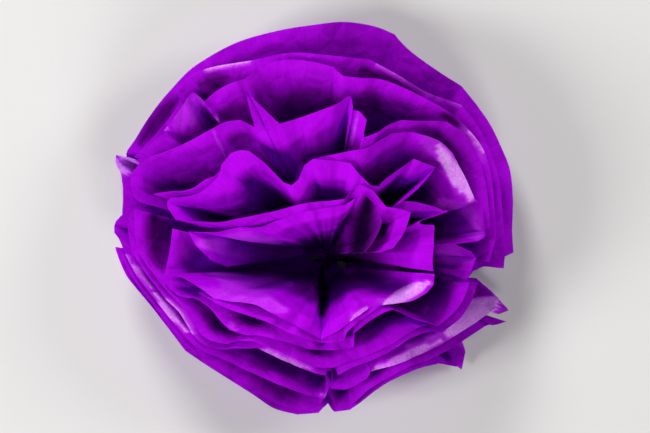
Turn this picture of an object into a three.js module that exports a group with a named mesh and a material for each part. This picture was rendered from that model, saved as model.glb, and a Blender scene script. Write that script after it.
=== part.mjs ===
// A tissue paper flower: eight sheets folded together like an accordion, tied across the middle and
// opened into two half-fans, whose layers were pulled up one by one into a dome.
// Millimetres, +Z up. The origin is the middle of the round outline, on the surface that the flower rests on.
import * as THREE from "three";

// Driving sizes
const FLOWER_WIDTH = 220; // from the left corner to the right edge
const RIM_HEIGHT = 6; // how far the outermost rim curls up off the table
const DOME_HEIGHT = 84; // how far the innermost rims stand above the outermost
const PAPER = 0.35; // wall of a sheet, measured upright
const SHEET_PITCH = 0.8; // from one sheet up to the next at the neck
const NECK_LENGTH = 7; // between the two half-fans
const WIRE_DIAMETER = 1.2;
const WIRE_CLEARANCE = 0.3; // between the wire and the paper, and under the wire
const WIRE_TAIL_LENGTH = 11; // twisted ends
const WIRE_TAIL_TURNS = 1.5;
const WIRE_BEND = 1; // at the loop's corners
const WIRE_STEPS = 56; // along the whole wire
const WIRE_TWIST_STEPS = 9; // along each end
const WIRE_ARC_STEPS = 4; // round the section

// Shares of a sheet's depth, from the neck (0) to its rim (1)
const RING_SHARE = 0.05; // where the pleats leave the neck
const TABLE_SHARE = 0.13; // where the lowest sheet has come down to the table
const FLAT_SHARE = 0.52; // where the outer sheets stop lying flat
const DOME_POWER = 0.6; // below 0.5 the dome is boxier than a ball, above it more pointed
const FLAP_SLOPE = 0.5; // of a flap that stands out past the rim

// Where sheets begin to rise and where their rims begin to lean out, by how far out the rims are. Each stop
// is a share of the way to the round outline, with a share of the sheet's depth.
const RISE_STOPS = [[0.2, 0.1], [0.5, 0.16], [0.7, 0.35], [0.88, FLAT_SHARE]];
const LEAN_STOPS = [[0.2, 0.8], [0.5, 0.86], [0.7, 0.95], [0.88, 0.98]];

// Each pleat line has points at the ring, at these shares of its rise and at the rim
const RISE_SHARES = [0, 0.35, 0.65, 0.9];
const LOWEST_RISE_SHARES = [0, 0.5, 0.85]; // the lowest sheet also has points where it meets the table
const ROW_GAP = 0.04; // the least share between points where an edge ends short of the rim

// Rows of points, counted from the ring, between which the half-fans of a sheet also join along their sides
const JOINED_SIDES = [
  { sheet: 1, side: "left", from: 1, to: 2 },
  { sheet: 1, side: "right", from: 1, to: 2 },
  { sheet: 3, side: "left", from: 1, to: 5 },
  { sheet: 5, side: "right", from: 2, to: 5 },
];

// The rims were traced on the photograph, in its own pixels, which run right and down
const PIXEL_WIDTH = 406; // the flower's width there
const PIXEL_OUTLINE_CENTRE = [313, 217];
const PIXEL_OUTLINE_RADIUS = 208;
const PIXEL_TIE = [328, 261]; // the tie isn't in the middle of the outline
const MM_PER_PIXEL = FLOWER_WIDTH / PIXEL_WIDTH;

// Upper half-fans, outermost sheet first, each from its left corner over the top to its right corner.
// A third value is the share of the depth that is left where an edge ends short of the rim, or over 1 where a
// flap stands out past it.
const UPPER_RIMS = [
  [
    [214, 256, 0.55], [165, 236, 0.7], [136, 214, 0.83], [126, 192, 0.9], [122, 172, 0.93],
    [121, 160, 0.93], [124, 153], [135, 137], [147, 118], [160, 100], [176, 82], [190, 68], [215, 52],
    [240, 40], [280, 29], [310, 24], [345, 20], [375, 24], [395, 32], [415, 53], [440, 71], [463, 85],
    [478, 104], [492, 124], [504, 148], [512, 168], [515, 200], [514, 230], [516, 254], [476, 272, 0.78],
    [468, 284, 0.74], [463, 303, 0.7],
  ],
  [
    [133, 157], [148, 142], [160, 129], [170, 117], [181, 100], [178, 88], [186, 77], [195, 72], [212, 67],
    [250, 61], [290, 53], [330, 56], [370, 60], [400, 77], [428, 93], [462, 105], [478, 125], [488, 145],
    [496, 165], [501, 190], [503, 215], [506, 245], [505, 268],
  ],
  [
    [121, 182], [120, 173], [112, 156], [137, 161], [151, 146], [168, 137], [164, 131], [172, 121],
    [184, 104], [190, 94], [202, 105], [213, 94], [228, 85], [246, 79], [256, 68], [280, 61], [310, 62],
    [335, 68], [344, 77], [362, 79], [380, 80], [400, 87], [425, 99], [442, 108], [458, 119], [470, 131],
    [482, 147], [489, 165], [493, 190], [495, 215], [496, 234], [489, 262],
  ],
  [
    [139, 203], [133, 196], [130, 184], [131, 174], [140, 164], [149, 158], [160, 154], [172, 149],
    [190, 141], [212, 130], [224, 124], [238, 122], [256, 128], [249, 100, 1.21], [247, 88, 1.3],
    [263, 107, 1.15], [280, 125], [300, 119], [322, 111], [340, 103], [349, 97], [350, 111], [358, 112],
    [366, 121], [363, 139], [372, 134], [385, 126], [400, 121], [415, 122], [430, 123], [446, 122],
    [461, 131], [471, 144], [479, 159], [485, 181], [488, 205], [490, 228],
  ],
  [
    [153, 196], [168, 193], [185, 191], [196, 187], [208, 179], [215, 177], [226, 167, 0.9],
    [234, 157, 0.88], [243, 154, 0.88], [252, 155, 0.88], [264, 163, 0.88], [275, 174, 0.88],
    [285, 185, 0.88], [293, 187, 0.88], [299, 181, 0.88], [305, 167, 0.92], [313, 160, 0.96], [325, 157],
    [336, 155], [350, 152], [365, 149], [378, 142], [392, 135], [412, 134], [430, 138], [442, 144],
    [452, 153], [460, 168], [468, 187], [472, 198], [480, 200], [485, 233], [478, 239], [450, 243],
    [470, 250], [476, 256], [470, 272],
  ],
  [
    [177, 219], [168, 202], [188, 198], [201, 193], [213, 184], [220, 177], [223, 165], [232, 154],
    [241, 151], [250, 152], [262, 161], [274, 172], [284, 183], [292, 186], [299, 180], [305, 166],
    [313, 160], [326, 161], [338, 162], [350, 164], [360, 176], [370, 186], [378, 187], [392, 176],
    [404, 166], [412, 159], [435, 168], [415, 188], [398, 202], [412, 203], [430, 206], [447, 211],
    [434, 217], [418, 223], [433, 226], [432, 246], [431, 262], [432, 270],
  ],
  [
    [184, 222], [210, 221], [240, 218], [256, 216], [280, 210], [303, 204], [317, 202], [330, 201],
    [345, 199], [351, 193], [360, 185], [373, 192], [385, 207], [400, 209], [411, 212], [404, 228],
    [392, 248], [381, 253],
  ],
  [
    [230, 267, 0.72], [212, 259, 0.85], [197, 245, 0.95], [190, 231], [212, 233], [250, 229], [280, 220],
    [300, 213], [320, 209], [345, 205], [352, 200], [359, 193], [367, 198], [376, 209], [381, 221],
    [377, 232], [370, 246], [364, 253],
  ],
];

// Lower half-fans in the same order, each from its right corner under the bottom to its left corner
const LOWER_RIMS = [
  [
    [463, 343], [468, 353], [464, 372], [455, 366], [440, 363], [425, 367], [410, 372], [385, 384],
    [362, 402], [350, 411], [335, 413], [328, 404, 0.95], [319, 414], [297, 416], [275, 410], [250, 393],
    [222, 375], [200, 361], [185, 351], [170, 331], [148, 303], [125, 276], [113, 250],
  ],
  [
    [509, 323], [500, 326], [486, 328], [470, 337], [455, 346], [440, 354], [425, 361], [410, 366],
    [385, 379], [372, 387], [360, 397], [350, 406], [336, 408], [328, 390, 0.9], [318, 409], [297, 410],
    [277, 404], [252, 388], [224, 371], [203, 358], [188, 348], [174, 331], [152, 303], [130, 276],
    [118, 252],
  ],
  [
    [478, 279, 0.8], [495, 294, 0.9], [511, 311], [498, 315], [480, 322], [460, 333], [440, 345],
    [420, 354], [400, 362], [385, 367], [370, 371], [366, 378], [355, 385], [345, 389], [333, 388],
    [329, 368, 0.88], [324, 398], [305, 394], [290, 388], [270, 380], [248, 370], [225, 359], [206, 351],
    [192, 343], [181, 331], [159, 304], [137, 277], [124, 253], [117, 236], [112, 227], [121, 216],
    [122, 200], [121, 183],
  ],
  [
    [477, 282], [471, 301], [461, 317], [441, 332], [420, 333], [408, 338], [395, 347], [380, 355],
    [366, 361], [352, 366], [338, 374], [331, 356, 0.83], [325, 374], [313, 371], [300, 366], [280, 357],
    [262, 349], [255, 346], [245, 347], [225, 349], [209, 345], [199, 340], [192, 333], [187, 324],
    [180, 312], [167, 299], [154, 283], [143, 268], [132, 250], [128, 232], [127, 214], [127, 207],
  ],
  [
    [465, 282, 0.945], [459, 297, 0.945], [449, 311, 0.945], [433, 323, 0.945], [419, 325], [405, 333],
    [392, 342], [377, 349], [363, 355], [348, 360], [333, 366], [315, 365], [302, 360], [283, 351],
    [264, 343], [255, 340], [244, 341], [226, 343], [212, 340], [204, 335], [198, 329], [192, 320],
    [185, 308], [172, 295], [159, 280], [148, 266], [138, 251], [135, 232], [135, 214], [136, 208],
  ],
  [
    [469, 282], [463, 298], [453, 312], [437, 325], [420, 319], [405, 312], [392, 308], [381, 312],
    [371, 318], [360, 326], [354, 331], [352, 346], [335, 348], [322, 348, 0.9], [309, 347], [290, 341],
    [270, 336], [256, 333], [240, 331], [230, 328], [222, 320], [212, 308], [200, 299], [190, 294],
    [178, 292], [170, 287], [164, 279], [167, 268], [172, 245], [174, 228],
  ],
  [
    [430, 277, 0.91], [429, 284, 0.91], [422, 291, 0.91], [410, 298, 0.91], [393, 301, 0.92],
    [380, 305, 0.95], [370, 311], [358, 320], [348, 329], [344, 338], [334, 340], [321, 341, 0.89],
    [306, 337], [290, 331], [276, 324], [262, 318], [248, 313], [232, 309], [218, 303], [208, 297],
    [200, 293],
  ],
  [
    [433, 273], [432, 284], [425, 292], [412, 299], [395, 302], [378, 304], [368, 307], [356, 315],
    [342, 326], [332, 332], [321, 337, 0.9], [310, 331], [296, 323], [284, 317], [270, 310], [258, 304],
    [240, 300], [215, 297], [205, 290], [190, 284], [169, 278],
  ],
];

// Sizes that follow from the driving ones
const WIRE_RADIUS = WIRE_DIAMETER / 2;
const NECK_FLOOR = WIRE_DIAMETER + 2 * WIRE_CLEARANCE; // the lowest sheet clears the wire under it
const OUTLINE_RADIUS = PIXEL_OUTLINE_RADIUS * MM_PER_PIXEL;
const TIE = planPoint(PIXEL_TIE);
const UPPER_PINCH = new THREE.Vector2(TIE.x, TIE.y + NECK_LENGTH / 2);
const LOWER_PINCH = new THREE.Vector2(TIE.x, TIE.y - NECK_LENGTH / 2);

function planPoint([right, down]) {
  const [centreRight, centreDown] = PIXEL_OUTLINE_CENTRE;
  return new THREE.Vector2((right - centreRight) * MM_PER_PIXEL, (centreDown - down) * MM_PER_PIXEL);
}

// How far the round outline is from a pinch point in a given direction.
function outlineReach(pinch, direction) {
  const along = -pinch.dot(direction);
  return along + Math.sqrt(along * along - pinch.lengthSq() + OUTLINE_RADIUS * OUTLINE_RADIUS);
}

// One pleat line of a half-fan: its direction, its length, its place in the dome and what is cut off.
function pleatLine(pinch, rimPoint) {
  const edge = planPoint(rimPoint).sub(pinch);
  const length = edge.length();
  const depthLeft = rimPoint[2] ?? 1;
  const reach = outlineReach(pinch, edge.clone().normalize());
  return { pinch, edge, length, depthLeft, reach, outwardness: length / depthLeft / reach };
}

// Height of a rim over the table: inner rims stand highest, as in a dome.
function rimHeight(outwardness) {
  return RIM_HEIGHT + DOME_HEIGHT * Math.max(0, 1 - outwardness ** 2) ** DOME_POWER;
}

// A value that runs straight from stop to stop, each given as [place, value].
function alongStops(stops, place) {
  const next = stops.findIndex(([stopPlace]) => stopPlace >= place);
  if (next < 0) return stops.at(-1)[1];
  if (next === 0) return stops[0][1];
  const [[fromPlace, from], [toPlace, to]] = stops.slice(next - 1, next + 1);
  return THREE.MathUtils.mapLinear(place, fromPlace, toPlace, from, to);
}

// How a sheet rises from the neck (0) to its rim (1).
function riseShare(outwardness, depth) {
  const rise = THREE.MathUtils.smoothstep(
    depth,
    alongStops(RISE_STOPS, outwardness),
    alongStops(LEAN_STOPS, outwardness),
  );
  return rise + FLAP_SLOPE * Math.max(0, depth - 1);
}

// Shares of the way along a pleat line at which a sheet has points.
function rowShares(line, isLowest) {
  const start = alongStops(RISE_STOPS, line.outwardness);
  const end = alongStops(LEAN_STOPS, line.outwardness);
  const riseShares = isLowest ? LOWEST_RISE_SHARES : RISE_SHARES;
  const rising = riseShares.map((share, row) => {
    const depth = THREE.MathUtils.lerp(start, end, share);
    return Math.min(depth / line.depthLeft, 1 - ROW_GAP * (riseShares.length - row));
  });
  return [RING_SHARE, ...(isLowest ? [TABLE_SHARE] : []), ...rising, 1];
}

// The underside of a sheet on one pleat line, at a share of the way from the neck to the edge. Only the
// lowest sheet comes down past the wire to the table.
function pointOnPleat(line, share, lift, isLowest) {
  const plan = line.edge.clone().multiplyScalar(share).add(line.pinch);
  const floor = isLowest && share > RING_SHARE ? 0 : NECK_FLOOR;
  const rise = rimHeight(line.outwardness) * riseShare(line.outwardness, share * line.depthLeft);
  return new THREE.Vector3(plan.x, plan.y, floor + lift + rise);
}

// The underside of a whole sheet: two half-fans of pleats round two pinch points, joined by the neck and,
// where they open that far, along their sides.
function sheetSurface(upperRim, lowerRim, number) {
  const lift = (number - 1) * SHEET_PITCH;
  const isLowest = number === 1;
  const points = [];
  const triangles = [];
  const addFan = (pinch, rim) => {
    const centre = points.push(new THREE.Vector3(pinch.x, pinch.y, NECK_FLOOR + lift)) - 1;
    const lines = rim.map((rimPoint) => pleatLine(pinch, rimPoint));
    const columns = lines.map((line) =>
      rowShares(line, isLowest).map((share) => points.push(pointOnPleat(line, share, lift, isLowest)) - 1),
    );
    for (let i = 0; i + 1 < lines.length; i++) {
      const [here, next] = columns.slice(i, i + 2);
      triangles.push([centre, next[0], here[0]]);
      for (let j = 0; j + 1 < here.length; j++) {
        triangles.push([here[j], next[j], next[j + 1]], [here[j], next[j + 1], here[j + 1]]);
      }
    }
    return { centre, first: columns[0], last: columns.at(-1) };
  };
  const upper = addFan(UPPER_PINCH, upperRim);
  const lower = addFan(LOWER_PINCH, lowerRim);
  const addQuad = (a, b, c, d) => triangles.push([a, b, c], [a, c, d]);
  addQuad(upper.first[0], lower.last[0], lower.centre, upper.centre);
  addQuad(upper.centre, lower.centre, lower.first[0], upper.last[0]);
  JOINED_SIDES.filter(({ sheet }) => sheet === number).forEach(({ side, from, to }) => {
    const [a, b] = side === "left" ? [lower.last, upper.first] : [upper.last, lower.first];
    for (let row = from; row < to; row++) {
      addQuad(a[row], b[row], b[row + 1], a[row + 1]);
    }
  });
  const neckCorners = [upper.first, upper.last, lower.first, lower.last].map((side) => points[side[0]]);
  return { points, triangles, neckCorners };
}

// A surface made into a closed sheet: the same surface twice, a wall's thickness apart, and its edges.
function thicken({ points, triangles }) {
  const count = points.length;
  const positions = [];
  points.forEach((p) => positions.push(p.x, p.y, p.z));
  points.forEach((p) => positions.push(p.x, p.y, p.z + PAPER));
  const indices = [];
  const openEdges = new Map();
  triangles.forEach(([a, b, c]) => {
    indices.push(a, c, b, a + count, b + count, c + count);
    [[a, b], [b, c], [c, a]].forEach(([from, to]) => {
      if (!openEdges.delete(to + " " + from)) openEdges.set(from + " " + to, [from, to]);
    });
  });
  openEdges.forEach(([from, to]) => {
    indices.push(from, to, to + count, from, to + count, from + count);
  });
  const geometry = new THREE.BufferGeometry();
  geometry.setAttribute("position", new THREE.Float32BufferAttribute(positions, 3));
  geometry.setIndex(indices);
  geometry.computeVertexNormals();
  return geometry;
}

// The tie: up one side of the necks and down the other, its two ends twisted together on the right.
function wireTie(neckCorners) {
  const halfNeck = Math.max(...neckCorners.map((p) => Math.abs(p.x - TIE.x)));
  const side = halfNeck + WIRE_CLEARANCE + WIRE_RADIUS;
  const top = Math.max(...neckCorners.map((p) => p.z)) + PAPER + WIRE_CLEARANCE + WIRE_RADIUS;
  const bottom = WIRE_CLEARANCE + WIRE_RADIUS;
  const middle = (bottom + top) / 2;
  const strand = WIRE_RADIUS + WIRE_CLEARANCE / 2; // from the middle of the twist to each wire
  const loop = [
    [side, bottom + WIRE_BEND],
    [side - WIRE_BEND, bottom],
    [0, bottom],
    [WIRE_BEND - side, bottom],
    [-side, bottom + WIRE_BEND],
    [-side, top - WIRE_BEND],
    [WIRE_BEND - side, top],
    [0, top],
    [side - WIRE_BEND, top],
    [side, top - WIRE_BEND],
  ].map(([x, z]) => new THREE.Vector3(x, 0, z));
  const twist = (startAngle) =>
    Array.from({ length: WIRE_TWIST_STEPS }, (_, i) => {
      const share = i / (WIRE_TWIST_STEPS - 1);
      const angle = startAngle + share * WIRE_TAIL_TURNS * 2 * Math.PI;
      const x = side + WIRE_DIAMETER + share * WIRE_TAIL_LENGTH;
      return new THREE.Vector3(x, strand * Math.cos(angle), middle + strand * Math.sin(angle));
    });
  const route = [...twist(-Math.PI / 2).reverse(), ...loop, ...twist(Math.PI / 2)];
  const section = new THREE.Shape().absarc(0, 0, WIRE_RADIUS, 0, 2 * Math.PI);
  return new THREE.ExtrudeGeometry(section, {
    steps: WIRE_STEPS,
    curveSegments: WIRE_ARC_STEPS,
    extrudePath: new THREE.CatmullRomCurve3(route, false, "centripetal"),
  });
}

const flower = new THREE.Group();
const allNeckCorners = [];
UPPER_RIMS.forEach((upperRim, index) => {
  const surface = sheetSurface(upperRim, LOWER_RIMS[index], index + 1);
  allNeckCorners.push(...surface.neckCorners);
  const paper = new THREE.MeshStandardMaterial({ color: 0x8a00c8, roughness: 0.55, metalness: 0 });
  paper.side = THREE.DoubleSide;
  const sheet = new THREE.Mesh(thicken(surface), paper);
  sheet.name = "sheet_" + (index + 1);
  flower.add(sheet);
});

const steel = new THREE.MeshStandardMaterial({ color: 0x2b2630, roughness: 0.4, metalness: 0.8 });
const tie = new THREE.Mesh(wireTie(allNeckCorners), steel);
tie.name = "wire_tie";
tie.position.set(TIE.x, TIE.y, 0);
flower.add(tie);

export default flower;
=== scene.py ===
"""A tissue paper flower: eight thin crinkled sheets, tied and opened into a dome. Metres, +Z up."""
import math

import bpy
import numpy as np
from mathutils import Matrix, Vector, noise


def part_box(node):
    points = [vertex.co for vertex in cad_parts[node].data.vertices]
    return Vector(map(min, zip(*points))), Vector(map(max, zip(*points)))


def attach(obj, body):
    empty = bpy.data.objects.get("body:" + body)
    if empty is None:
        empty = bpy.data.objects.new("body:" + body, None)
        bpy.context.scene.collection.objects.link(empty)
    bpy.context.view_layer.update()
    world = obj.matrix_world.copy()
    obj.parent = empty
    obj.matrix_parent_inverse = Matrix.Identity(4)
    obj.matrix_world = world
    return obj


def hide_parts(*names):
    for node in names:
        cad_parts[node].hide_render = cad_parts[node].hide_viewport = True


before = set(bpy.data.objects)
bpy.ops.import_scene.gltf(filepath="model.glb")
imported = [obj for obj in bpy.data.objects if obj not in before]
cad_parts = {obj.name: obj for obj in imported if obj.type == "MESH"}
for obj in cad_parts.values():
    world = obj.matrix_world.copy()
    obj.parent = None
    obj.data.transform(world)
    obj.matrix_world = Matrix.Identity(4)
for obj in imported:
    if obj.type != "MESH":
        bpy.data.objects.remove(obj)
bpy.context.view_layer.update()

# Sizes, as in the part's source
FLOWER_WIDTH = 0.220
RIM_HEIGHT = 0.006
DOME_HEIGHT = 0.084
CAD_PAPER = 0.00035
SHEET_PITCH = 0.0008
NECK_LENGTH = 0.007
WIRE_RADIUS = 0.0006
WIRE_CLEARANCE = 0.0003
WIRE_TAIL_TURNS = 1.5

# The finer wire: its bends, and the steps along its twist, between its points and round its section
WIRE_BEND = 0.00102
WIRE_TWIST_STEPS = 12
WIRE_CURVE_STEPS = 6
WIRE_ROUNDNESS = 4

# Shares of a sheet's depth, from the neck (0) to its rim (1)
RING_SHARE = 0.05
TABLE_SHARE = 0.13
FLAT_SHARE = 0.52
DOME_POWER = 0.6
FLAP_SLOPE = 0.5

# Where sheets begin to rise and where their rims begin to lean out, by how far out the rims are
RIM_PLACES = (0.2, 0.5, 0.7, 0.88)
RISE_STARTS = (0.1, 0.16, 0.35, FLAT_SHARE)
LEAN_STARTS = (0.8, 0.86, 0.95, 0.98)

# Where the two half-fans of a sheet also join along their sides, as shares of the depth
JOINED_SIDES = [
    (1, "left", TABLE_SHARE, FLAT_SHARE),
    (1, "right", TABLE_SHARE, FLAT_SHARE),
    (3, "left", FLAT_SHARE, 1),
    (5, "right", FLAT_SHARE, 1),
]

# The thin paper and its mesh: rows from the neck to the rim, steps along the rim, and where rims and
# surfaces turn sharply
PAPER = 0.00012
ROWS = 34
RIM_STEP = 0.0014
CORNER_COSINE = math.cos(math.radians(19))
SHARP_ANGLE = math.radians(50)
TINY = 1e-15  # the least length that is divided by

# The crinkles of the paper, in metres. Each sheet has its own place in the noise, so that no two are alike.
CRINKLE_START = 0.25  # share of the depth over which the crinkles grow from the neck
CREASE_HEIGHT = 0.0011
CREASE_ACROSS = 0.016
CREASE_ALONG = 0.036
CREASE_REACH = 0.085  # from the neck, where widths across the pleats are measured
CREASE_LEVEL = 0.35  # of the noise, where the paper isn't moved
CREASE_PLACE = 5.3
CRUMPLE_HEIGHT = 0.0006
CRUMPLE_SIZE = 0.011
CRUMPLE_PLACE = 9.1
FLUTTER_HEIGHT = 0.0016
FLUTTER_SIZE = 0.024
FLUTTER_PLACE = 3.7

# The folds that the pleating left, and the rims that are folded outwards
FOLD_SEED = 40
FOLD_HEIGHT = 0.0034
FOLD_HEIGHT_SHARES = (0.3, 1)
FOLD_SPACING = (0.010, 0.026)
FOLD_ROOM = 0.009  # between rims, for folds of the full height
FOLD_LEAST = 0.1  # share of the height that is left where there is no room
TURN_RAMP = 0.009  # along the rim, over which a folded stretch begins or ends
TURN_SHEEN = 0.3  # how strongly a folded stretch is painted with sheen

# Where shade is painted into the paper's colour: depth below its rim, climb to the next rim in degrees, gap
# between rims
SHADE_DEPTHS = (0.02, 0.078)
SHADE_ANGLES = (48, 90)
SHADE_GAPS = (0.003, 0.016)
LEAST_GAP = 0.0001
SHADE_STRENGTH = 0.64
OUTERMOST_SHADE = 0.35

# Painted light and painted shade marks: how wide their ends are, and the share of their reach over which
# they fade
MARK_TIP = 0.35
PAINTED_LIGHT_SOFTNESS = 0.4
PAINTED_SHADE_SOFTNESS = 0.9

# Colours, linear
DEEP_PURPLE = (0.34, 0.0004, 0.60, 1)
BRIGHT_PURPLE = (0.46, 0.0015, 0.76, 1)
# The colour of the painted shade in hollows and under the next sheet's rim
PAINTED_SHADE_PURPLE = (0.01, 0.0001, 0.025, 1)
# Painted sheen and painted light on folded rims and marked faces, from purple to pale lilac
PAINTED_SHEEN_PURPLE = (0.58, 0.03, 0.84, 1)
PAINTED_SHEEN_LILAC = (0.8, 0.34, 0.95, 1)
LIGHT_THROUGH = (0.55, 0.0, 0.85, 1)
DARK_WIRE = (0.008, 0.006, 0.010, 1)
RUBBED_WIRE = (0.03, 0.025, 0.035, 1)
PALE_FLOOR = (0.66, 0.65, 0.64, 1)
WHITE_SKY = (1, 1, 1, 1)

# Surfaces: sizes of their patterns as repeats in a metre, and pairs that go from plain paper to paper under
# the painted sheen
CLOUDS_PER_METRE = 170
FIBRES_PER_METRE = (900, 60, 1)
SPECKLES_PER_METRE = 700
WRINKLES_PER_METRE = 70
WRINKLE_WIDTH = 0.25  # as a share of the distance between wrinkles
RELIEF_STRENGTH = 0.55
RELIEF_HEIGHT = 0.0009
MOTTLE_RANGE = (0.6, 1.4)
SPECKLE_RANGE = (0.35, 0.65)
SPECKLE_COVER = 0.72
# Where the painted sheen turns from purple to lilac, and how much of it covers the paper's colour
PAINTED_SHEEN_MIDDLE = 0.45
PAINTED_SHEEN_COVER = 0.5
TISSUE_ROUGHNESS = (0.62, 0.34)
TISSUE_SHINE = (0.02, 0.35)
SHARE_THROUGH = 0.03
WEAR_PER_METRE = 900
WIRE_ROUGHNESS = (0.5, 0.7)
WIRE_METALLIC = 0.6
FLOOR_ROUGHNESS = 0.9

# Lamps in a ring round the flower: azimuth in degrees and watts
LAMPS = [(20, 15), (110, 31), (200, 34), (290, 17)]
LAMP_RADIUS = 1.75
LAMP_HEIGHT = 1.25
LAMP_SIZE = 0.7
SKY_LIGHT = 0.04

# Camera, above the height where the photograph's scale holds, and floor
CAMERA_DISTANCE = 2.4
SCALE_PLANE = 0.045
SENSOR_WIDTH = 36
FLOOR_HALF = 4
FLOOR_DROP = 0.0004

# The photograph's frame, in pixels that run right and down
FRAME_WIDTH = 650
FRAME_HEIGHT = 433
PIXEL_WIDTH = 406
PIXEL_OUTLINE_CENTRE = (313, 217)
PIXEL_OUTLINE_RADIUS = 208
PIXEL_TIE = (328, 261)
METRES_PER_PIXEL = FLOWER_WIDTH / PIXEL_WIDTH

# Upper half-fans, outermost sheet first, each from its left corner over the top to its right corner.
# A third value is the share of the depth that is left where an edge ends short of the rim, or over 1 where
# a flap stands out past it.
UPPER_RIMS = [
    [
        (214, 256, 0.55), (165, 236, 0.7), (136, 214, 0.83), (126, 192, 0.9), (122, 172, 0.93),
        (121, 160, 0.93), (124, 153), (135, 137), (147, 118), (160, 100), (176, 82), (190, 68),
        (215, 52), (240, 40), (280, 29), (310, 24), (345, 20), (375, 24), (395, 32), (415, 53),
        (440, 71), (463, 85), (478, 104), (492, 124), (504, 148), (512, 168), (515, 200), (514, 230),
        (516, 254), (476, 272, 0.78), (468, 284, 0.74), (463, 303, 0.7),
    ],
    [
        (133, 157), (148, 142), (160, 129), (170, 117), (181, 100), (178, 88), (186, 77), (195, 72),
        (212, 67), (250, 61), (290, 53), (330, 56), (370, 60), (400, 77), (428, 93), (462, 105),
        (478, 125), (488, 145), (496, 165), (501, 190), (503, 215), (506, 245), (505, 268),
    ],
    [
        (121, 182), (120, 173), (112, 156), (137, 161), (151, 146), (168, 137), (164, 131), (172, 121),
        (184, 104), (190, 94), (202, 105), (213, 94), (228, 85), (246, 79), (256, 68), (280, 61),
        (310, 62), (335, 68), (344, 77), (362, 79), (380, 80), (400, 87), (425, 99), (442, 108),
        (458, 119), (470, 131), (482, 147), (489, 165), (493, 190), (495, 215), (496, 234), (489, 262),
    ],
    [
        (139, 203), (133, 196), (130, 184), (131, 174), (140, 164), (149, 158), (160, 154), (172, 149),
        (190, 141), (212, 130), (224, 124), (238, 122), (256, 128), (249, 100, 1.21), (247, 88, 1.3),
        (263, 107, 1.15), (280, 125), (300, 119), (322, 111), (340, 103), (349, 97), (350, 111),
        (358, 112), (366, 121), (363, 139), (372, 134), (385, 126), (400, 121), (415, 122), (430, 123),
        (446, 122), (461, 131), (471, 144), (479, 159), (485, 181), (488, 205), (490, 228),
    ],
    [
        (153, 196), (168, 193), (185, 191), (196, 187), (208, 179), (215, 177), (226, 167, 0.9),
        (234, 157, 0.88), (243, 154, 0.88), (252, 155, 0.88), (264, 163, 0.88), (275, 174, 0.88),
        (285, 185, 0.88), (293, 187, 0.88), (299, 181, 0.88), (305, 167, 0.92), (313, 160, 0.96),
        (325, 157), (336, 155), (350, 152), (365, 149), (378, 142), (392, 135), (412, 134), (430, 138),
        (442, 144), (452, 153), (460, 168), (468, 187), (472, 198), (480, 200), (485, 233), (478, 239),
        (450, 243), (470, 250), (476, 256), (470, 272),
    ],
    [
        (177, 219), (168, 202), (188, 198), (201, 193), (213, 184), (220, 177), (223, 165), (232, 154),
        (241, 151), (250, 152), (262, 161), (274, 172), (284, 183), (292, 186), (299, 180), (305, 166),
        (313, 160), (326, 161), (338, 162), (350, 164), (360, 176), (370, 186), (378, 187), (392, 176),
        (404, 166), (412, 159), (435, 168), (415, 188), (398, 202), (412, 203), (430, 206), (447, 211),
        (434, 217), (418, 223), (433, 226), (432, 246), (431, 262), (432, 270),
    ],
    [
        (184, 222), (210, 221), (240, 218), (256, 216), (280, 210), (303, 204), (317, 202), (330, 201),
        (345, 199), (351, 193), (360, 185), (373, 192), (385, 207), (400, 209), (411, 212), (404, 228),
        (392, 248), (381, 253),
    ],
    [
        (230, 267, 0.72), (212, 259, 0.85), (197, 245, 0.95), (190, 231), (212, 233), (250, 229),
        (280, 220), (300, 213), (320, 209), (345, 205), (352, 200), (359, 193), (367, 198), (376, 209),
        (381, 221), (377, 232), (370, 246), (364, 253),
    ],
]

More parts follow.
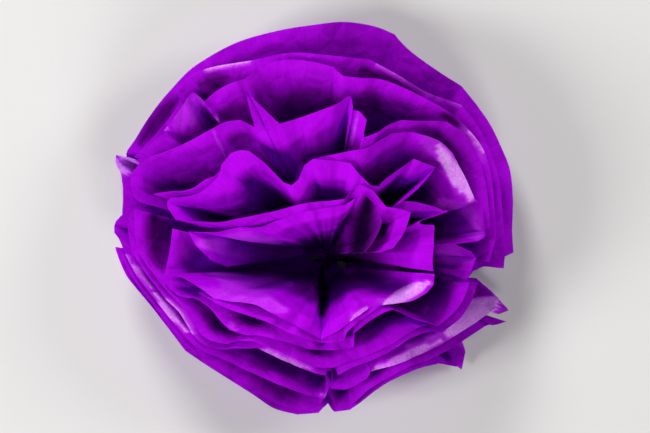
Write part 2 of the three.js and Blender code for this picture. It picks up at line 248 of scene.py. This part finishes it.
# Lower half-fans in the same order, each from its right corner under the bottom to its left corner
LOWER_RIMS = [
    [
        (463, 343), (468, 353), (464, 372), (455, 366), (440, 363), (425, 367), (410, 372), (385, 384),
        (362, 402), (350, 411), (335, 413), (328, 404, 0.95), (319, 414), (297, 416), (275, 410),
        (250, 393), (222, 375), (200, 361), (185, 351), (170, 331), (148, 303), (125, 276), (113, 250),
    ],
    [
        (509, 323), (500, 326), (486, 328), (470, 337), (455, 346), (440, 354), (425, 361), (410, 366),
        (385, 379), (372, 387), (360, 397), (350, 406), (336, 408), (328, 390, 0.9), (318, 409),
        (297, 410), (277, 404), (252, 388), (224, 371), (203, 358), (188, 348), (174, 331), (152, 303),
        (130, 276), (118, 252),
    ],
    [
        (478, 279, 0.8), (495, 294, 0.9), (511, 311), (498, 315), (480, 322), (460, 333), (440, 345),
        (420, 354), (400, 362), (385, 367), (370, 371), (366, 378), (355, 385), (345, 389), (333, 388),
        (329, 368, 0.88), (324, 398), (305, 394), (290, 388), (270, 380), (248, 370), (225, 359),
        (206, 351), (192, 343), (181, 331), (159, 304), (137, 277), (124, 253), (117, 236), (112, 227),
        (121, 216), (122, 200), (121, 183),
    ],
    [
        (477, 282), (471, 301), (461, 317), (441, 332), (420, 333), (408, 338), (395, 347), (380, 355),
        (366, 361), (352, 366), (338, 374), (331, 356, 0.83), (325, 374), (313, 371), (300, 366),
        (280, 357), (262, 349), (255, 346), (245, 347), (225, 349), (209, 345), (199, 340), (192, 333),
        (187, 324), (180, 312), (167, 299), (154, 283), (143, 268), (132, 250), (128, 232), (127, 214),
        (127, 207),
    ],
    [
        (465, 282, 0.945), (459, 297, 0.945), (449, 311, 0.945), (433, 323, 0.945), (419, 325),
        (405, 333), (392, 342), (377, 349), (363, 355), (348, 360), (333, 366), (315, 365), (302, 360),
        (283, 351), (264, 343), (255, 340), (244, 341), (226, 343), (212, 340), (204, 335), (198, 329),
        (192, 320), (185, 308), (172, 295), (159, 280), (148, 266), (138, 251), (135, 232), (135, 214),
        (136, 208),
    ],
    [
        (469, 282), (463, 298), (453, 312), (437, 325), (420, 319), (405, 312), (392, 308), (381, 312),
        (371, 318), (360, 326), (354, 331), (352, 346), (335, 348), (322, 348, 0.9), (309, 347),
        (290, 341), (270, 336), (256, 333), (240, 331), (230, 328), (222, 320), (212, 308), (200, 299),
        (190, 294), (178, 292), (170, 287), (164, 279), (167, 268), (172, 245), (174, 228),
    ],
    [
        (430, 277, 0.91), (429, 284, 0.91), (422, 291, 0.91), (410, 298, 0.91), (393, 301, 0.92),
        (380, 305, 0.95), (370, 311), (358, 320), (348, 329), (344, 338), (334, 340), (321, 341, 0.89),
        (306, 337), (290, 331), (276, 324), (262, 318), (248, 313), (232, 309), (218, 303), (208, 297),
        (200, 293),
    ],
    [
        (433, 273), (432, 284), (425, 292), (412, 299), (395, 302), (378, 304), (368, 307), (356, 315),
        (342, 326), (332, 332), (321, 337, 0.9), (310, 331), (296, 323), (284, 317), (270, 310),
        (258, 304), (240, 300), (215, 297), (205, 290), (190, 284), (169, 278),
    ],
]

# Rims folded outwards: half, sheet, from and to a pixel of the rim, width in pixels, tilt in degrees
TURNED_RIMS = [
    ("upper", 5, (415, 134), (476, 200), 15, 14),
    ("upper", 3, (455, 117), (490, 170), 9, 14),
    ("upper", 2, (195, 72), (262, 59), 6, 10),
    ("lower", 8, (431, 284), (370, 306), 12, 12),
    ("lower", 8, (366, 308), (342, 326), 8, 14),
    ("lower", 3, (500, 299), (400, 362), 16, 10),
    ("lower", 4, (200, 341), (160, 290), 9, 12),
    ("lower", 4, (322, 374), (256, 346), 9, 12),
    ("lower", 3, (398, 363), (368, 372), 9, 14),
    ("lower", 8, (262, 306), (196, 287), 14, 4),
    ("upper", 2, (376, 64), (462, 105), 3, 8),
]

# Painted sheen on creases and corners, and painted light on shaded faces: half, sheet, from and to a pixel,
# reach in pixels, strength
PAINTED_LIGHT_MARKS = [
    ("upper", 5, (438, 148), (469, 197), 12, 1),
    ("upper", 3, (471, 132), (484, 151), 6, 0.9),
    ("upper", 2, (205, 69), (250, 62), 4, 0.95),
    ("upper", 2, (376, 64), (462, 105), 3, 0.6),
    ("lower", 8, (427, 282), (384, 302), 9, 0.95),
    ("lower", 8, (366, 306), (350, 320), 5, 0.7),
    ("lower", 3, (498, 302), (450, 332), 19, 1),
    ("lower", 3, (442, 341), (372, 370), 6, 0.8),
    ("lower", 8, (342, 266), (388, 280), 14, 0.3),
    ("lower", 8, (212, 277), (290, 284), 11, 0.4),
    ("upper", 8, (202, 243), (300, 252), 15, 0.45),
    ("upper", 5, (442, 203), (476, 232), 22, 0.36),
    ("upper", 5, (440, 250), (466, 262), 12, 0.3),
    ("lower", 3, (124, 255), (152, 291), 4, 0.7),
    ("lower", 3, (154, 293), (187, 331), 6, 0.9),
    ("lower", 4, (166, 300), (192, 332), 6, 0.8),
    ("lower", 4, (262, 348), (312, 368), 5, 0.7),
    ("upper", 3, (114, 160), (134, 166), 14, 1),
    ("upper", 3, (163, 131), (168, 128), 5, 0.6),
    ("upper", 3, (178, 124), (198, 100), 20, 0.3),
    ("upper", 3, (213, 130), (222, 112), 2, 0.6),
    ("upper", 4, (213, 130), (226, 156), 2, 0.4),
    ("upper", 4, (357, 113), (349, 150), 2, 0.4),
    ("upper", 4, (296, 178), (303, 166), 3.5, 0.5),
    ("lower", 8, (224, 287), (285, 308), 13, 0.36),
    ("lower", 6, (230, 321), (237, 328), 4, 0.4),
    ("lower", 3, (321, 394), (329, 396), 4, 0.5),
]

# Painted shade in hollows that the light doesn't reach, in the same terms
PAINTED_SHADE_MARKS = [
    ("upper", 1, (138, 142), (177, 97), 16, 0.8),
    ("upper", 2, (200, 84), (228, 78), 17, 0.8),
    ("upper", 2, (362, 71), (423, 95), 13, 0.88),
    ("upper", 3, (354, 100), (378, 112), 28, 0.72),
    ("upper", 3, (443, 114), (470, 137), 11, 0.88),
    ("upper", 3, (285, 105), (318, 92), 20, 0.63),
    ("upper", 3, (224, 117), (250, 109), 17, 0.72),
    ("upper", 4, (231, 140), (252, 146), 19, 0.55),
    ("upper", 8, (367, 200), (357, 258), 31, 1),
    ("lower", 8, (322, 268), (322, 314), 13, 1),
    ("lower", 8, (292, 272), (312, 298), 17, 0.5),
    ("lower", 5, (152, 214), (160, 264), 21, 0.76),
    ("lower", 6, (184, 234), (190, 270), 19, 0.46),
]

NECK_FLOOR = 2 * WIRE_RADIUS + 2 * WIRE_CLEARANCE
OUTLINE_RADIUS = PIXEL_OUTLINE_RADIUS * METRES_PER_PIXEL


def plan_point(right, down):
    """A pixel of the photograph as a point on the table."""
    centre_right, centre_down = PIXEL_OUTLINE_CENTRE
    return np.array([(right - centre_right) * METRES_PER_PIXEL, (centre_down - down) * METRES_PER_PIXEL])


TIE = plan_point(*PIXEL_TIE)
UPPER_PINCH = TIE + [0, NECK_LENGTH / 2]
LOWER_PINCH = TIE - [0, NECK_LENGTH / 2]


def between(t, p, q, start, end):
    """On the straight way from p at the start to q at the end."""
    return p + (q - p) * (t - start) / (end - start)


def smooth_piece(points):
    """A smooth curve through points, sampled about every RIM_STEP, without its last point."""
    padded = np.vstack([2 * points[0] - points[1], points, 2 * points[-1] - points[-2]])
    samples = []
    for a, b, c, d in zip(padded, padded[1:], padded[2:], padded[3:]):
        count = max(1, round(np.linalg.norm((c - b)[:2]) / RIM_STEP))
        knots = np.cumsum([0] + [np.linalg.norm((q - p)[:2]) ** 0.5 for p, q in ((a, b), (b, c), (c, d))])
        t = np.linspace(knots[1], knots[2], count, endpoint=False)[:, None]
        ab = between(t, a, b, knots[0], knots[1])
        bc = between(t, b, c, knots[1], knots[2])
        cd = between(t, c, d, knots[2], knots[3])
        abc = between(t, ab, bc, knots[0], knots[2])
        bcd = between(t, bc, cd, knots[1], knots[3])
        samples.append(between(t, abc, bcd, knots[1], knots[2]))
    return np.vstack(samples)


def smooth_rim(pixels):
    """A traced rim as a fine line in plan, with the depth left: curved, but sharp at its corners."""
    points = np.array([[*plan_point(*p[:2]), p[2] if len(p) > 2 else 1] for p in pixels])
    steps = np.diff(points[:, :2], axis=0)
    steps /= np.linalg.norm(steps, axis=1)[:, None]
    turns = np.sum(steps[:-1] * steps[1:], axis=1)
    corners = [0] + [i + 1 for i, cosine in enumerate(turns) if cosine < CORNER_COSINE] + [len(points) - 1]
    pieces = [smooth_piece(points[i : j + 1]) for i, j in zip(corners, corners[1:])]
    return np.vstack(pieces + [points[-1:]])


def rim_height(outwardness):
    """Inner rims stand highest, as in a dome."""
    return RIM_HEIGHT + DOME_HEIGHT * np.maximum(0, 1 - outwardness**2) ** DOME_POWER


def smooth_step(value, start, end):
    """From 0 at the start to 1 at the end, level at both."""
    share = np.clip((value - start) / (end - start), 0, 1)
    return share**2 * (3 - 2 * share)


def rise_share(outwardness, depth):
    """Outer sheets lie flat first, inner ones go up at once, and rims lean out."""
    start = np.interp(outwardness, RIM_PLACES, RISE_STARTS)
    end = np.interp(outwardness, RIM_PLACES, LEAN_STARTS)
    return smooth_step(depth, start, end) + FLAP_SLOPE * np.maximum(0, depth - 1)


def grid_normals(grid):
    """Unit normals of a grid of points, rows out from the neck and columns round the fan."""
    normals = np.cross(np.gradient(grid, axis=1), np.gradient(grid, axis=0))
    return normals / np.maximum(np.linalg.norm(normals, axis=2), TINY)[:, :, None]


def turn_rims(grid, rim, from_rim, half, number):
    """Folds stretches of a rim outwards, so that they slope down away from the flower, and marks them for a
    painted sheen.
    """
    folded = np.zeros(grid.shape[:2])
    for turned_half, turned_number, start, end, width, tilt in TURNED_RIMS:
        if (turned_half, turned_number) != (half, number):
            continue
        ends = [plan_point(*start), plan_point(*end)]
        first, last = (np.linalg.norm(rim[:, :2] - spot, axis=1).argmin() for spot in ends)
        columns = np.arange(len(rim))
        inside = np.minimum(columns - first, last - columns) * RIM_STEP / TURN_RAMP
        window = np.clip(inside, 0, 1)
        fold = width * METRES_PER_PIXEL * window
        for j in np.nonzero(window > 0)[0]:
            height = np.interp(-fold[j], -from_rim[:, j], grid[:, j, 2])
            strip = from_rim[:, j] < fold[j]
            grid[strip, j, 2] = height - math.tan(math.radians(tilt)) * (fold[j] - from_rim[strip, j])
            # Painted sheen on the folded strip
            folded[strip, j] = TURN_SHEEN * window[j]
    return folded


def marked(grid, marks, softness, half, number):
    """How strongly the listed marks show at each point of a half-fan."""
    shown = np.zeros(grid.shape[:2])
    for marked_half, marked_number, start, end, reach, strength in marks:
        if (marked_half, marked_number) != (half, number):
            continue
        first = plan_point(*start)
        step = plan_point(*end) - first
        share = np.clip((grid[:, :, :2] - first) @ step / (step @ step), 0, 1)
        away = np.linalg.norm(grid[:, :, :2] - first - share[:, :, None] * step, axis=2)
        width = reach * METRES_PER_PIXEL * (MARK_TIP + (1 - MARK_TIP) * np.sin(math.pi * share))
        fading = smooth_step(away / width, 1 - softness, 1)
        shown = np.maximum(shown, strength * (1 - fading))
    return shown


def seen_from(pinch, pixels):
    """A rim as its pinch sees it: the fine line, the way to it, its length, and how far out it is."""
    rim = smooth_rim(pixels)
    edge = rim[:, :2] - pinch
    length = np.linalg.norm(edge, axis=1)
    along = -(edge / length[:, None]) @ pinch
    reach = along + np.sqrt(along**2 - pinch @ pinch + OUTLINE_RADIUS**2)
    return rim, edge, length, length / rim[:, 2] / reach


def rim_of_neighbour(edge, pixels, pinch, index, half):
    """How far out and how high a neighbour's rim is, in the directions of a sheet's own rim."""
    side = 1 if half == "upper" else -1
    rim, other_edge, other_length, outwardness = seen_from(pinch, pixels)
    rise = rim_height(outwardness) * rise_share(outwardness, rim[:, 2])
    other_top = NECK_FLOOR + index * SHEET_PITCH + rise
    other_angle = np.arctan2(other_edge[:, 0], side * other_edge[:, 1])
    angle = np.arctan2(edge[:, 0], side * edge[:, 1])
    order = np.argsort(other_angle)
    reach = np.interp(angle, other_angle[order], other_length[order], left=0, right=0)
    top = np.interp(angle, other_angle[order], other_top[order], left=0, right=0)
    return reach, top


def pleat_folds(across, room, index, half):
    """Straight folds left by the pleating, up and down in turn, shallow where room is short."""
    seeded = np.random.default_rng(FOLD_SEED + 2 * index + (half == "upper"))
    count = int(np.ptp(across) / FOLD_SPACING[0]) + 2
    places = across.min() + np.cumsum(seeded.uniform(*FOLD_SPACING, count)) - FOLD_SPACING[0]
    heights = FOLD_HEIGHT * seeded.uniform(*FOLD_HEIGHT_SHARES, count) * (-1) ** np.arange(count)
    return np.interp(across, places, heights) * np.clip(room / FOLD_ROOM, FOLD_LEAST, 1)


def half_fan(rims, pinch, index, half):
    """The middle surface of one half of a sheet, as a grid of points and its paper coordinates."""
    rim, edge, length, outwardness = seen_from(pinch, rims[index])
    depth_left = rim[:, 2]
    shares = np.linspace(RING_SHARE, 1, ROWS)[:, None]
    floor = np.full_like(shares, NECK_FLOOR)
    if index == 0:
        floor = NECK_FLOOR * (1 - smooth_step(shares, RING_SHARE, TABLE_SHARE))
    height = rim_height(outwardness) * rise_share(outwardness, shares * depth_left)
    grid = np.empty((ROWS, len(rim), 3))
    grid[:, :, :2] = pinch + shares[:, :, None] * edge
    grid[:, :, 2] = floor + height + index * SHEET_PITCH + CAD_PAPER / 2

    # Folded rims, painted sheen and painted light, and painted shade below the rim
    folded = turn_rims(grid, rim, (1 - shares) * length, half, index + 1)
    pale = np.maximum(folded, marked(grid, PAINTED_LIGHT_MARKS, PAINTED_LIGHT_SOFTNESS, half, index + 1))
    shade = smooth_step(grid[-1, :, 2] - grid[:, :, 2], *SHADE_DEPTHS)

    # Room for folds between the neighbours' rims, and the painted shade under the next sheet's rim
    room = np.full_like(length, FOLD_ROOM)
    if index > 0:
        reach, _ = rim_of_neighbour(edge, rims[index - 1], pinch, index - 1, half)
        room = np.minimum(room, np.abs(reach - length))
    if index + 1 < len(rims):
        reach, top = rim_of_neighbour(edge, rims[index + 1], pinch, index + 1, half)
        room = np.minimum(room, np.abs(length - reach))
        gap = np.linalg.norm(grid[:, :, :2] - pinch, axis=2) - reach
        climb = np.degrees(np.arctan2(top - grid[:, :, 2], np.maximum(gap, LEAST_GAP)))
        hollow = smooth_step(length - reach, *SHADE_GAPS) * (OUTERMOST_SHADE if index == 0 else 1)
        shade = np.maximum(shade, smooth_step(climb, *SHADE_ANGLES) * hollow)
    # Painted shade marks, and the strength of the painted shade
    dark = marked(grid, PAINTED_SHADE_MARKS, PAINTED_SHADE_SOFTNESS, half, index + 1)
    shade = np.maximum(SHADE_STRENGTH * shade, dark)

    # Crinkles, kept above the table
    across = np.unwrap(np.arctan2(edge[:, 1], edge[:, 0])) * CREASE_REACH
    along_pleat = shares * length
    folds = pleat_folds(across, room, index, half)
    grid += crinkles(grid, across, along_pleat, folds, shares, index)
    grid[:, :, 2] = np.maximum(grid[:, :, 2], PAPER)
    return grid, np.dstack([np.broadcast_to(across, along_pleat.shape), along_pleat, pale, shade])


def crinkles(grid, across, along_pleat, folds, shares, index):
    """Small moves of the paper: pleat folds, creases along them, crumples all over and a fluttering rim."""
    normals = grid_normals(grid)
    moves = np.zeros_like(grid)
    for i in range(grid.shape[0]):
        share = shares[i, 0]
        grown = min(1, (share - RING_SHARE) / CRINKLE_START)
        for j in range(grid.shape[1]):
            along = along_pleat[i, j] / CREASE_ALONG
            crease_spot = Vector((across[j] / CREASE_ACROSS, along, CREASE_PLACE * index))
            near, second = noise.voronoi(crease_spot)[0][:2]
            crease = CREASE_HEIGHT * (second - near - CREASE_LEVEL)
            crumple_spot = Vector(grid[i, j]) / CRUMPLE_SIZE + Vector((0, 0, CRUMPLE_PLACE * index))
            crumple = CRUMPLE_HEIGHT * noise.noise(crumple_spot)
            moves[i, j] = normals[i, j] * ((crease + crumple) * grown + folds[j] * share**2)
            flutter_spot = Vector((across[j] / FLUTTER_SIZE, FLUTTER_PLACE * index, 0))
            moves[i, j, 2] += FLUTTER_HEIGHT * noise.noise(flutter_spot) * share**3
    return moves


def sheet_mesh(name, index):
    """A whole sheet as a thin closed mesh: two half-fans, joined by the neck."""
    points = []
    coordinates = []
    faces = []
    corners = []
    for half, rims, pinch in (("upper", UPPER_RIMS, UPPER_PINCH), ("lower", LOWER_RIMS, LOWER_PINCH)):
        grid, spots = half_fan(rims, pinch, index, half)
        start = len(points)
        rows, columns = grid.shape[:2]
        points.extend(grid.reshape(-1, 3))
        coordinates.extend(spots.reshape(-1, 4))
        centre = len(points)
        points.append(np.array([*pinch, grid[0, :, 2].max()]))
        # The middle of the neck lies deepest: full painted shade and no painted sheen
        coordinates.append(np.array([spots[0, :, 0].mean(), 0, 0, 1]))
        for j in range(columns - 1):
            faces.append((centre, start + j + 1, start + j))
            for i in range(rows - 1):
                near = start + i * columns + j
                faces.append((near, near + 1, near + columns + 1, near + columns))
        corners.append((start, start + columns - 1, centre))
    (upper_first, upper_last, upper_centre), (lower_first, lower_last, lower_centre) = corners
    faces.append((upper_first, lower_last, lower_centre, upper_centre))
    faces.append((upper_centre, lower_centre, lower_first, upper_last))
    upper_columns = upper_last - upper_first + 1
    lower_columns = lower_last - lower_first + 1
    for sheet, side, *shares in JOINED_SIDES:
        if sheet != index + 1:
            continue
        start, end = (round((share - RING_SHARE) / (1 - RING_SHARE) * (ROWS - 1)) for share in shares)
        for i in range(start, end):
            near = (upper_first if side == "left" else upper_last) + i * upper_columns
            near_other = (lower_last if side == "left" else lower_first) + i * lower_columns
            quad = (near, near + upper_columns, near_other + lower_columns, near_other)
            faces.append(quad if side == "left" else quad[::-1])
    return thin_solid(name, np.array(points), np.array(coordinates), faces)


def vertex_normals(points, faces):
    """Unit normals at the points of an open surface."""
    normals = np.zeros_like(points)
    for face in faces:
        normal = np.cross(points[face[2]] - points[face[0]], points[face[-1]] - points[face[1]])
        for corner in face:
            normals[corner] += normal
    return normals / np.maximum(np.linalg.norm(normals, axis=1), TINY)[:, None]


def thin_solid(name, points, coordinates, faces):
    """An open surface made into a closed sheet of the paper's thickness."""
    half = vertex_normals(points, faces) * PAPER / 2
    count = len(points)
    open_edges = set()
    for face in faces:
        for a, b in zip(face, face[1:] + face[:1]):
            if (b, a) in open_edges:
                open_edges.remove((b, a))
            else:
                open_edges.add((a, b))
    solid_faces = [tuple(reversed(face)) for face in faces]
    solid_faces += [tuple(corner + count for corner in face) for face in faces]
    solid_faces += [(a, b, b + count, a + count) for a, b in sorted(open_edges)]
    mesh = bpy.data.meshes.new(name)
    mesh.from_pydata(np.vstack([points - half, points + half]), [], solid_faces)
    mesh.validate()
    spots = np.vstack([coordinates, coordinates])
    loop_vertices = np.empty(len(mesh.loops), dtype=np.int32)
    mesh.loops.foreach_get("vertex_index", loop_vertices)
    layer = mesh.uv_layers.new(name="pleats")
    layer.data.foreach_set("uv", spots[loop_vertices, :2].astype(np.float32).ravel())
    # The painted sheen and painted light go to the material as sheen, the painted shade as depth
    for column, attribute_name in ((2, "sheen"), (3, "depth")):
        attribute = mesh.attributes.new(attribute_name, "FLOAT", "POINT")
        attribute.data.foreach_set("value", spots[:, column].astype(np.float32))
    mesh.shade_smooth()
    mesh.set_sharp_from_angle(angle=SHARP_ANGLE)
    piece = bpy.data.objects.new(name, mesh)
    bpy.context.collection.objects.link(piece)
    return piece


def wire_curve(name):
    """The tie: a loop round the necks, its two ends twisted together on the right."""
    low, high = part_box("wire_tie")
    left = low.x + WIRE_RADIUS - TIE[0]
    bottom = low.z + WIRE_RADIUS
    top = high.z - WIRE_RADIUS
    middle = (bottom + top) / 2
    side = -left
    tail_start = side + 2 * WIRE_RADIUS
    tail_end = high.x - TIE[0] - WIRE_RADIUS / 2
    strand = WIRE_RADIUS + WIRE_CLEARANCE / 2
    flat = side - WIRE_BEND
    low_bend = bottom + WIRE_BEND
    high_bend = top - WIRE_BEND
    loop = [
        (side, low_bend), (flat, bottom), (0, bottom), (-flat, bottom), (-side, low_bend),
        (-side, high_bend), (-flat, top), (0, top), (flat, top), (side, high_bend),
    ]

    def twist(start_angle):
        points = []
        for share in np.linspace(0, 1, WIRE_TWIST_STEPS + 1):
            angle = start_angle + share * WIRE_TAIL_TURNS * 2 * math.pi
            x = tail_start + share * (tail_end - tail_start)
            points.append((x, strand * math.cos(angle), middle + strand * math.sin(angle)))
        return points

    first_end = [(spot, "AUTO") for spot in twist(-math.pi / 2)[::-1]]
    middle_run = [((x, 0, z), "VECTOR") for x, z in loop]
    last_end = [(spot, "AUTO") for spot in twist(math.pi / 2)]
    route = first_end + middle_run + last_end
    curve = bpy.data.curves.new(name, "CURVE")
    curve.dimensions = "3D"
    curve.bevel_depth = WIRE_RADIUS
    curve.bevel_resolution = WIRE_ROUNDNESS
    curve.use_fill_caps = True
    spline = curve.splines.new("BEZIER")
    spline.bezier_points.add(len(route) - 1)
    for point, (spot, handle) in zip(spline.bezier_points, route):
        point.co = (spot[0] + TIE[0], spot[1] + TIE[1], spot[2])
        point.handle_left_type = handle
        point.handle_right_type = handle
    spline.resolution_u = WIRE_CURVE_STEPS
    piece = bpy.data.objects.new(name, curve)
    bpy.context.collection.objects.link(piece)
    return piece


def new_material(name):
    """A material with its main shader, and functions that add a node, add a change of range and link."""
    material = bpy.data.materials.new(name)
    material.use_nodes = True
    nodes = material.node_tree.nodes
    shader = nodes["Principled BSDF"]

    def add(kind, **values):
        node = nodes.new(kind)
        for key, value in values.items():
            if key in node.inputs:
                node.inputs[key].default_value = value
            else:
                setattr(node, key, value)
        return node

    def add_range(start=(0, 1), end=(0, 1)):
        return add(
            "ShaderNodeMapRange",
            **{"From Min": start[0], "From Max": start[1], "To Min": end[0], "To Max": end[1]},
        )

    return material, shader, add, add_range, material.node_tree.links.new


def tissue_material():
    """Purple tissue: matt, mottled by fibres, finely creased, with painted shade in hollows and a painted,
    glossier sheen on marked strips.
    """
    material, shader, add, add_range, link = new_material("purple_tissue")
    place = add("ShaderNodeTexCoord")
    pleats = add("ShaderNodeUVMap", uv_map="pleats")
    clouds = add("ShaderNodeTexNoise", Scale=CLOUDS_PER_METRE, Detail=5, Roughness=0.6)
    link(place.outputs["Object"], clouds.inputs["Vector"])
    stretch = add("ShaderNodeMapping", Scale=FIBRES_PER_METRE)
    link(pleats.outputs["UV"], stretch.inputs["Vector"])
    fibres = add("ShaderNodeTexNoise", Scale=1, Detail=3)
    link(stretch.outputs["Vector"], fibres.inputs["Vector"])
    mottle = add("ShaderNodeMath", operation="ADD")
    link(clouds.outputs["Fac"], mottle.inputs[0])
    link(fibres.outputs["Fac"], mottle.inputs[1])
    tone = add_range(MOTTLE_RANGE)
    link(mottle.outputs[0], tone.inputs["Value"])
    colour = add("ShaderNodeValToRGB")
    colour.color_ramp.elements[0].color = DEEP_PURPLE
    colour.color_ramp.elements[1].color = BRIGHT_PURPLE
    link(tone.outputs["Result"], colour.inputs["Fac"])

    # Painted shade: the colour darkens towards the shade purple where the depth attribute says
    depth = add("ShaderNodeAttribute", attribute_name="depth")
    shaded = add("ShaderNodeMixRGB", Color2=PAINTED_SHADE_PURPLE)
    link(depth.outputs["Fac"], shaded.inputs["Fac"])
    link(colour.outputs["Color"], shaded.inputs["Color1"])

    # Painted sheen and painted light: paler and glossier where the sheen attribute says
    sheen = add("ShaderNodeAttribute", attribute_name="sheen")
    speckle = add("ShaderNodeTexNoise", Scale=SPECKLES_PER_METRE, Detail=3, Roughness=0.7)
    link(place.outputs["Object"], speckle.inputs["Vector"])
    grain = add_range(SPECKLE_RANGE, (SPECKLE_COVER, 1))
    link(speckle.outputs["Fac"], grain.inputs["Value"])
    pale = add("ShaderNodeMath", operation="MULTIPLY")
    link(sheen.outputs["Fac"], pale.inputs[0])
    link(grain.outputs["Result"], pale.inputs[1])
    sheen_colour = add("ShaderNodeValToRGB")
    sheen_colour.color_ramp.elements[0].color = BRIGHT_PURPLE
    sheen_colour.color_ramp.elements[1].color = PAINTED_SHEEN_LILAC
    sheen_colour.color_ramp.elements.new(PAINTED_SHEEN_MIDDLE).color = PAINTED_SHEEN_PURPLE
    link(pale.outputs[0], sheen_colour.inputs["Fac"])
    cover = add_range((0, PAINTED_SHEEN_COVER))
    link(pale.outputs[0], cover.inputs["Value"])
    tinted = add("ShaderNodeMixRGB")
    link(cover.outputs["Result"], tinted.inputs["Fac"])
    link(shaded.outputs["Color"], tinted.inputs["Color1"])
    link(sheen_colour.outputs["Color"], tinted.inputs["Color2"])
    link(tinted.outputs["Color"], shader.inputs["Base Color"])
    gloss = add_range(end=TISSUE_ROUGHNESS)
    link(pale.outputs[0], gloss.inputs["Value"])
    link(gloss.outputs["Result"], shader.inputs["Roughness"])
    polish = add_range(end=TISSUE_SHINE)
    link(pale.outputs[0], polish.inputs["Value"])
    link(polish.outputs["Result"], shader.inputs["Specular IOR Level"])

    cells = add("ShaderNodeTexVoronoi", feature="DISTANCE_TO_EDGE", Scale=WRINKLES_PER_METRE)
    link(place.outputs["Object"], cells.inputs["Vector"])
    folds = add_range((0, WRINKLE_WIDTH))
    link(cells.outputs["Distance"], folds.inputs["Value"])
    relief = add("ShaderNodeMath", operation="ADD")
    link(folds.outputs["Result"], relief.inputs[0])
    link(clouds.outputs["Fac"], relief.inputs[1])
    bump = add("ShaderNodeBump", Strength=RELIEF_STRENGTH, Distance=RELIEF_HEIGHT)
    link(relief.outputs[0], bump.inputs["Height"])
    link(bump.outputs["Normal"], shader.inputs["Normal"])
    through = add("ShaderNodeBsdfTranslucent", Color=LIGHT_THROUGH)
    link(bump.outputs["Normal"], through.inputs["Normal"])
    both = add("ShaderNodeMixShader", Fac=SHARE_THROUGH)
    link(shader.outputs["BSDF"], both.inputs[1])
    link(through.outputs["BSDF"], both.inputs[2])
    output = material.node_tree.nodes["Material Output"]
    link(both.outputs["Shader"], output.inputs["Surface"])
    return material


def wire_material():
    """Dull dark wire."""
    material, shader, add, add_range, link = new_material("dark_wire")
    place = add("ShaderNodeTexCoord")
    wear = add("ShaderNodeTexNoise", Scale=WEAR_PER_METRE, Detail=3)
    link(place.outputs["Object"], wear.inputs["Vector"])
    colour = add("ShaderNodeValToRGB")
    colour.color_ramp.elements[0].color = DARK_WIRE
    colour.color_ramp.elements[1].color = RUBBED_WIRE
    link(wear.outputs["Fac"], colour.inputs["Fac"])
    link(colour.outputs["Color"], shader.inputs["Base Color"])
    rough = add_range(end=WIRE_ROUGHNESS)
    link(wear.outputs["Fac"], rough.inputs["Value"])
    link(rough.outputs["Result"], shader.inputs["Roughness"])
    shader.inputs["Metallic"].default_value = WIRE_METALLIC
    return material


def floor_material():
    """Plain pale paper backdrop."""
    material, shader = new_material("pale_floor")[:2]
    shader.inputs["Base Color"].default_value = PALE_FLOOR
    shader.inputs["Roughness"].default_value = FLOOR_ROUGHNESS
    return material


def add_light(name, spot, target, size, watts):
    """A square soft lamp at a spot, facing a target."""
    lamp = bpy.data.lights.new(name, "AREA")
    lamp.energy = watts
    lamp.size = size
    piece = bpy.data.objects.new(name, lamp)
    piece.location = spot
    piece.rotation_euler = (Vector(target) - Vector(spot)).to_track_quat("-Z", "Y").to_euler()
    bpy.context.collection.objects.link(piece)


# Camera: straight down, as in the photograph
camera = bpy.data.cameras.new("camera")
camera.sensor_width = SENSOR_WIDTH
camera.lens = SENSOR_WIDTH * CAMERA_DISTANCE / (FRAME_WIDTH * METRES_PER_PIXEL)
camera_piece = bpy.data.objects.new("camera", camera)
camera_piece.location = (*plan_point(FRAME_WIDTH / 2, FRAME_HEIGHT / 2), SCALE_PLANE + CAMERA_DISTANCE)
bpy.context.collection.objects.link(camera_piece)
bpy.context.scene.camera = camera_piece

# The flower
tissue = tissue_material()
for index in range(len(UPPER_RIMS)):
    sheet = sheet_mesh(f"tissue_sheet_{index + 1}", index)
    sheet.data.materials.append(tissue)
    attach(sheet, "root")
    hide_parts(f"sheet_{index + 1}")
tie = wire_curve("twisted_wire")
tie.data.materials.append(wire_material())
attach(tie, "root")
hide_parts("wire_tie")

# Floor and light
floor_mesh = bpy.data.meshes.new("floor")
floor_corners = [(x * FLOOR_HALF, y * FLOOR_HALF, 0) for x, y in ((-1, -1), (1, -1), (1, 1), (-1, 1))]
floor_mesh.from_pydata(floor_corners, [], [(0, 1, 2, 3)])
floor = bpy.data.objects.new("floor", floor_mesh)
floor.location.z = -FLOOR_DROP
floor.data.materials.append(floor_material())
bpy.context.collection.objects.link(floor)
for azimuth, watts in LAMPS:
    angle = math.radians(azimuth)
    spot = (LAMP_RADIUS * math.cos(angle), LAMP_RADIUS * math.sin(angle), LAMP_HEIGHT)
    add_light(f"lamp_{azimuth}", spot, (0, 0, SCALE_PLANE), LAMP_SIZE, watts)
world = bpy.data.worlds.new("studio")
bpy.context.scene.world = world
world.use_nodes = True
background = world.node_tree.nodes["Background"]
background.inputs["Color"].default_value = WHITE_SKY
background.inputs["Strength"].default_value = SKY_LIGHT
bpy.context.scene.view_settings.view_transform = "Standard"
